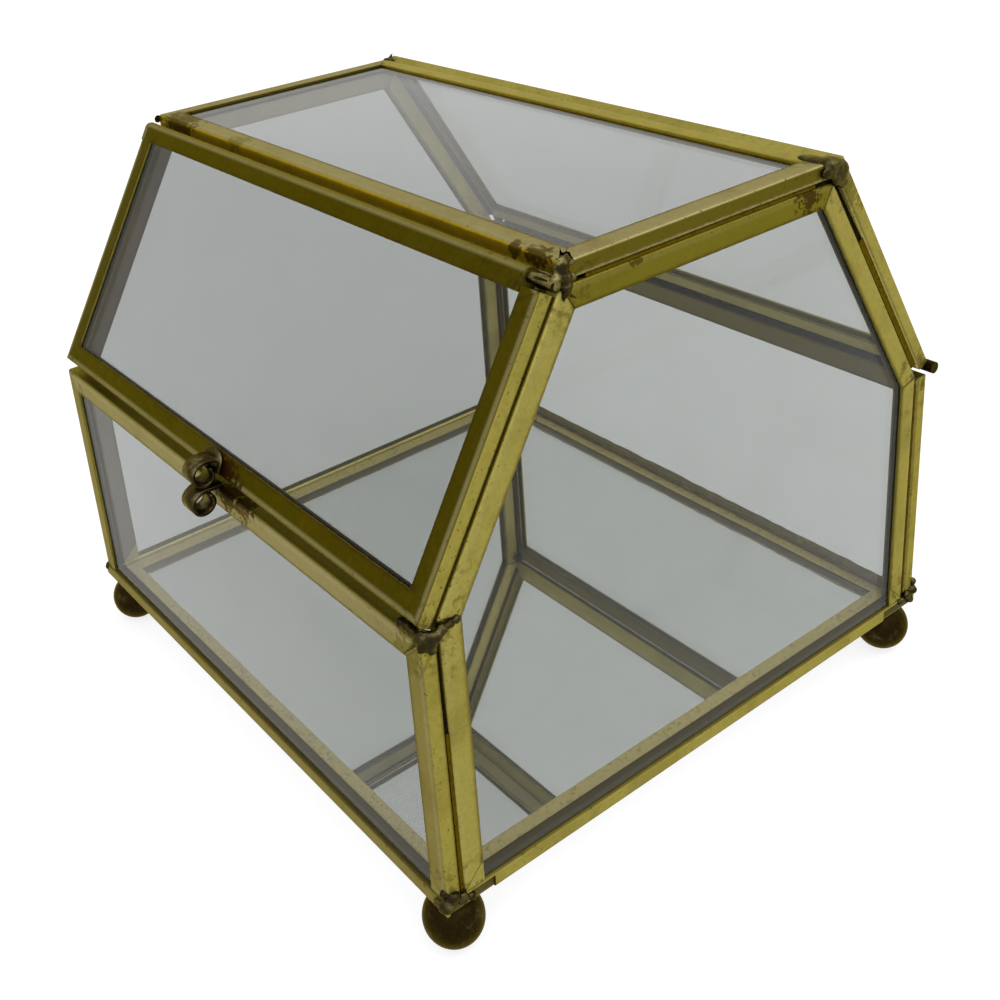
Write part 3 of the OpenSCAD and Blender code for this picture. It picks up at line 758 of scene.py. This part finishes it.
def base_lumps():
    """Solder on the base's corners, small on the left."""
    near = [
        ((61.3, -55.4, 12.2), 1.25), ((61.5, -54.2, 13.4), 1.1), ((61.6, -52.6, 12.1), 1.0),
        ((61.7, -50.9, 11.5), 0.7), ((59.5, -55.6, 11.8), 0.9), ((60.9, -55.4, 14.4), 0.8),
        ((60.3, -54.8, 10.9), 0.9),
    ]
    rear = [
        ((61.4, 59.4, 13.1), 1.05), ((61.6, 57.4, 13.0), 0.95), ((61.3, 59.5, 14.9), 0.75),
        ((61.6, 55.3, 12.3), 0.65), ((61.6, 58.6, 11.4), 0.8),
    ]
    made = [
        lumps("base_lump_front_right", near, grain=0.2, seed=12),
        lumps("base_lump_rear_right", rear, seed=13),
    ]
    for number, (x, y) in enumerate(((-61.4, -55.4), (-61.4, 59.4))):
        drop = [((x, y, 12.1), (0.9, 0.8, 1.0))]
        made.append(lumps(f"base_lump_{number + 1}", drop, seed=14 + number))
    for thing in made:
        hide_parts("base_solder")


# Seams: steps along one, then in mm a panel's thickness at its came, how far the strip
# reaches in from the box's end, its slack beside the cames, and the hollow in its face
SEAM_STEPS = 60
CAME_THICK = 2.8
SEAM_REACH = 2.6
SEAM_SLACK = 0.02
SEAM_HOLLOW = 0.12


def seam_strip(name, side, width, start, stop, sink_start, sink_stop, end, material, seed):
    """A strip in the seam between an end pane's came and a side that lies between the ends: residue
    in the wax material, painted shadow in the dark one.

    It runs over a share of the side's height, from start to stop, and lies sink_start to
    sink_stop mm below the box's end. end is 1 for the right and -1 for the left.
    """
    panel = PANELS[side]
    heights = [p.dot(panel.up) for p in corners(f"{side}_came")]
    low, high = min(heights), max(heights)
    inside = (panel.top - CAME_THICK) * MM
    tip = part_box("right_came")[1].x
    root = tip - SEAM_REACH * MM
    bm = bmesh.new()
    rings = []
    for i in range(SEAM_STEPS + 1):
        t = i / SEAM_STEPS
        along = panel.up * (low + (high - low) * (start + (stop - start) * t))
        ripple = 0.10 * noise.noise(Vector((i * 0.7, seed * 9.0, 0)))
        ripple += 0.05 * noise.noise(Vector((i * 2.3, seed * 5.0, 3)))
        face = tip - (sink_start + (sink_stop - sink_start) * t + ripple) * MM
        profile = (
            (SEAM_SLACK, face), (width / 2, face - SEAM_HOLLOW * MM), (width - SEAM_SLACK, face),
            (width - SEAM_SLACK, root), (SEAM_SLACK, root),
        )
        ring = []
        for inset, x in profile:
            place = along + panel.out * (inside - inset * MM)
            ring.append(bm.verts.new((x * end, place.y, place.z)))
        rings.append(ring)
    join_rings(bm, rings)
    thing = thing_of(name, bm, material, "box", smooth=False)


def seams():
    """Each seam: side, width in mm, start and stop as shares, depth in mm at both, and material."""
    rows = (
        ("front", 0.6, 0.0, 0.64, 0.12, 0.15, wax),
        # Rows in the dark material are painted shadow
        ("front", 0.6, 0.63, 0.97, 0.25, 1.0, seam_shadow),
        ("rear", 0.6, 0.02, 0.97, 0.15, 0.15, wax),
        ("roof", 0.6, 0.07, 0.93, 0.25, 0.25, wax),
        ("rear_slope", 1.2, 0.04, 0.68, 0.2, 0.25, wax),
        ("rear_slope", 1.2, 0.67, 0.94, 0.5, 1.2, seam_shadow),
    )
    for end, label in ((1, "right"), (-1, "left")):
        for number, (side, width, start, stop, sink_start, sink_stop, material) in enumerate(rows):
            name = f"seam_{side}_{label}_{number}"
            seam_strip(name, side, width, start, stop, sink_start, sink_stop, end, material, number)


def bed(name, reach, y, z, radii, material, grain):
    """A rough rod of residue from -reach to reach mm in x, whose radii differ in y and z."""
    sides = 12
    bm = bmesh.new()
    rings = []
    for n, x in enumerate(range(-reach, reach + 1)):
        ring = []
        for k in range(sides):
            turn = 2 * math.pi * k / sides
            swell = 1 + grain * noise.noise(Vector((n * 0.45, math.cos(turn), math.sin(turn))))
            away = Vector((0, radii[0] * math.cos(turn), radii[1] * math.sin(turn))) * swell
            ring.append(bm.verts.new((Vector((x, y, z)) + away) * MM))
        rings.append(ring)
    join_rings(bm, rings)
    thing = thing_of(name, bm, material, "box")


# The base's inner flange in mm: insets from the came's box at left, right, front and rear,
# its depth under the came's face, its gap over the mirror and its waviness
BORDER_OUTER = (3.5, 3.5, 3.5, 3.5)
BORDER_INNER = (7.0, 6.5, 6.2, 5.9)
BORDER_DEPTH = 0.12
BORDER_GAP = 0.01
BORDER_SWAY = 0.12
BORDER_STEPS = 48


def border():
    """The wide inner part of the base's flange, a flat frame that lies on the mirror."""
    low, high = box_mm("base_came")
    bottom, top = box_mm("base_mirror")[1].z + BORDER_GAP, high.z - BORDER_DEPTH
    rows = (
        (BORDER_OUTER, bottom, 0.0), (BORDER_OUTER, top, 0.0),
        (BORDER_INNER, top, BORDER_SWAY), (BORDER_INNER, bottom, BORDER_SWAY),
    )
    bm = bmesh.new()
    loops = []
    for (left, right, front, rear), z, sway in rows:
        x0, x1, y0, y1 = low.x + left, high.x - right, low.y + front, high.y - rear
        ends = [(x0, y0), (x1, y0), (x1, y1), (x0, y1)]
        ring = []
        for n, (a, b) in enumerate(zip(ends, ends[1:] + ends[:1])):
            for i in range(BORDER_STEPS):
                t = i / BORDER_STEPS
                x, y = a[0] + (b[0] - a[0]) * t, a[1] + (b[1] - a[1]) * t
                off = sway * noise.noise(Vector((n * 7.0 + t * 9, 0, 0)))
                ring.append(bm.verts.new(Vector((x + off * (n % 2), y + off * (1 - n % 2), z)) * MM))
        loops.append(ring)
    for a, b in zip(loops, loops[1:] + loops[:1]):
        for k in range(len(a)):
            bm.faces.new((a[k - 1], a[k], b[k], b[k - 1]))
    thing = thing_of("base_flange_border", bm, border_metal, "box", smooth=False)


def smooth_path(path, steps=6):
    """Points on a smooth curve through the points of a path, some steps from each to the next."""
    last = len(path) - 1
    dense = []
    for n in range(last):
        a, b, c, d = (Vector(path[min(max(n + k, 0), last)]) for k in (-1, 0, 1, 2))
        for i in range(steps):
            t = i / steps
            curve = 2 * b + (c - a) * t + (2 * a - 5 * b + 4 * c - d) * t ** 2
            dense.append(0.5 * (curve + (3 * b - a - 3 * c + d) * t ** 3))
    dense.append(Vector(path[-1]))
    return dense


# The catch, in mm: the bevel of its strips, and the steps over which one narrows
BEVEL = 0.12
FLARE_STEPS = 12


def ribbon(name, path, from_x, to_x, thick, body, node, flare=0.0):
    """A bent strip: a path of (y, z) in mm, swept between two x, wider at its start by flare."""
    points = smooth_path(path)
    bm = bmesh.new()
    rings = []
    for n, point in enumerate(points):
        ahead = (points[min(n + 1, len(points) - 1)] - points[max(n - 1, 0)]).normalized()
        side = Vector((-ahead.y, ahead.x)) * thick / 2
        extra = flare * max(0.0, 1 - n / FLARE_STEPS) ** 2
        low, high = from_x - extra, to_x + extra
        profile = (
            (low, -0.6), (low + BEVEL, -1), (high - BEVEL, -1), (high, -0.6),
            (high, 0.6), (high - BEVEL, 1), (low + BEVEL, 1), (low, 0.6),
        )
        ring = []
        for x, share in profile:
            place = point + side * share
            ring.append(bm.verts.new(Vector((x, place.x, place.y)) * MM))
        rings.append(ring)
    join_rings(bm, rings)
    thing = thing_of(name, bm, catch_metal, body)
    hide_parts(node)


def tab():
    """The arched plate of the catch, on the outside of the door's lower flange."""
    middle, half = 1.5, 3.3
    sill, straight, arch = 0.25, 1.6, 2.3
    waist = 1.9
    foot = min(corners("door_came"), key=lambda p: p.dot(DOOR.up))
    base = DOOR.up * foot.dot(DOOR.up) + DOOR.out * DOOR.top * MM
    turns = [math.radians(a) for a in range(10, 171, 10)]
    outline = [(-half, sill), (-half, straight)]
    outline += [(-half * math.cos(a), straight + arch * math.sin(a)) for a in turns]
    outline += [(half, straight), (half, sill)]
    bm = bmesh.new()
    rings = []
    for shrink, height in ((1.0, 0.0), (1.0, 0.30), (0.95, 0.46), (0.80, 0.52), (0.4, 0.54)):
        ring = []
        for u, v in outline:
            level = waist + (v - waist) * shrink
            place = base + (DOOR.up * level + DOOR.out * height) * MM
            ring.append(bm.verts.new(((middle + u * shrink) * MM, place.y, place.z)))
        rings.append(ring)
    join_rings(bm, rings)
    thing = thing_of("door_catch_tab", bm, catch_metal, "door")
    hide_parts("door_catch")


def catch():
    """The catch: a tab and a curled strip on the door, and a curled strip on the front wall."""
    tab()
    upper = [
        (-54.2, 64.9), (-54.9, 65.25), (-56.2, 65.62), (-57.6, 65.65), (-58.8, 65.2), (-59.52, 64.3),
        (-59.62, 63.2), (-59.15, 62.15), (-58.3, 61.6), (-57.3, 61.5), (-56.45, 61.85), (-55.98, 62.6),
        (-55.95, 63.5), (-56.3, 64.2),
    ]
    lower = [
        (-54.6, 60.45), (-55.8, 60.48), (-57.0, 60.5), (-58.5, 60.45), (-59.7, 59.85), (-60.4, 58.95),
        (-60.42, 57.9), (-59.95, 57.0), (-59.1, 56.5), (-58.0, 56.5), (-57.1, 57.0), (-56.6, 57.8),
        (-56.6, 58.7), (-57.0, 59.5),
    ]
    ribbon("door_catch_loop", upper, 0.2, 4.0, 0.6, "door", "door_catch", flare=0.6)
    ribbon("wall_catch_loop", lower, 0.0, 4.0, 0.7, "box", "wall_catch")


roof_lumps()
waist_lumps()
base_lumps()
seams()
border()
catch()
bed("rod_bed", 58, 59.2, 60.38, (0.5, 0.40), solder, grain=0.3)
bed("rear_pane_cement", 57, 56.55, 13.9, (0.5, 1.1), cement, grain=0.2)


# Stage, lamps and camera, in metres. Seen directly, in a reflection or through glass, the floor
# and the world are brighter than the light that they cast on the box.
FLOOR_HALF = 3.0
FLOOR_TONES = ((0.80, 0.80, 0.80), (0.84, 0.84, 0.84))
FLOOR_GLOW = 1.26
FLOOR_SEEN = 0.62
WORLD_LIGHT = 0.55
WORLD_SEEN = 1.0
LAMPS = {
    "key": dict(at=(0.6, -0.6, 1.2), size=(1.7, 1.7), power=13),
    "top": dict(at=(0.5, 0.7, 1.2), size=(1.6, 1.2), power=8),
}
LAMP_AIM = Vector((0, 0, 0.05))
CAMERA_CLIP = (0.01, 20)


def backdrop_share(tree):
    """1 for rays from the camera, from a reflection or through glass."""
    path = tree.nodes.new("ShaderNodeLightPath")
    share = path.outputs["Is Camera Ray"]
    for name in ("Is Glossy Ray", "Is Transmission Ray"):
        either = tree.nodes.new("ShaderNodeMath")
        either.operation = "MAXIMUM"
        tree.links.new(share, either.inputs[0])
        tree.links.new(path.outputs[name], either.inputs[1])
        share = either.outputs[0]
    return share


def floor():
    mesh = bpy.data.meshes.new("floor")
    square = [(x * FLOOR_HALF, y * FLOOR_HALF, 0) for x, y in ((-1, -1), (1, -1), (1, 1), (-1, 1))]
    mesh.from_pydata(square, [], [(0, 1, 2, 3)])
    plane = bpy.data.objects.new("floor", mesh)
    bpy.context.scene.collection.objects.link(plane)
    s = Shade("floor_white")
    card = s.surface(s.mix(s.noise(40, 2, 0.5), *FLOOR_TONES), 0.9, metal=0.0)
    glow = s.add("ShaderNodeEmission")
    s.put(glow.inputs["Strength"], FLOOR_GLOW)
    share = s.product(backdrop_share(s.tree), FLOOR_SEEN)
    mesh.materials.append(s.done(s.blend(share, card, glow.outputs[0])))


def world():
    made = bpy.data.worlds.new("studio")
    bpy.context.scene.world = made
    made.use_nodes = True
    tree = made.node_tree
    level = tree.nodes.new("ShaderNodeMapRange")
    tree.links.new(backdrop_share(tree), level.inputs["Value"])
    level.inputs["To Min"].default_value = WORLD_LIGHT
    level.inputs["To Max"].default_value = WORLD_SEEN
    back = tree.nodes["Background"]
    back.inputs["Color"].default_value = (1, 1, 1, 1)
    tree.links.new(level.outputs[0], back.inputs["Strength"])


def lamp(name, at, size, power):
    data = bpy.data.lights.new(name, "AREA")
    data.shape = "RECTANGLE"
    data.size, data.size_y = size
    data.energy = power
    thing = bpy.data.objects.new(name, data)
    thing.location = at
    thing.rotation_euler = (LAMP_AIM - Vector(at)).to_track_quat("-Z", "Y").to_euler()
    bpy.context.scene.collection.objects.link(thing)


def camera():
    data = bpy.data.cameras.new("camera")
    data.sensor_width = SENSOR_MM
    data.lens = FOCAL_PX / FRAME_PX * SENSOR_MM
    data.shift_x = (FRAME_PX / 2 - CENTRE_PX[0]) / FRAME_PX
    data.shift_y = (CENTRE_PX[1] - FRAME_PX / 2) / FRAME_PX
    data.clip_start, data.clip_end = CAMERA_CLIP
    thing = bpy.data.objects.new("camera", data)
    thing.location = CAMERA_AT
    thing.rotation_euler = Euler([math.radians(a) for a in CAMERA_TURN])
    bpy.context.scene.collection.objects.link(thing)
    bpy.context.scene.camera = thing


floor()
world()
for name, settings in LAMPS.items():
    lamp(name, **settings)
camera()
bpy.context.scene.view_settings.view_transform = "Standard"
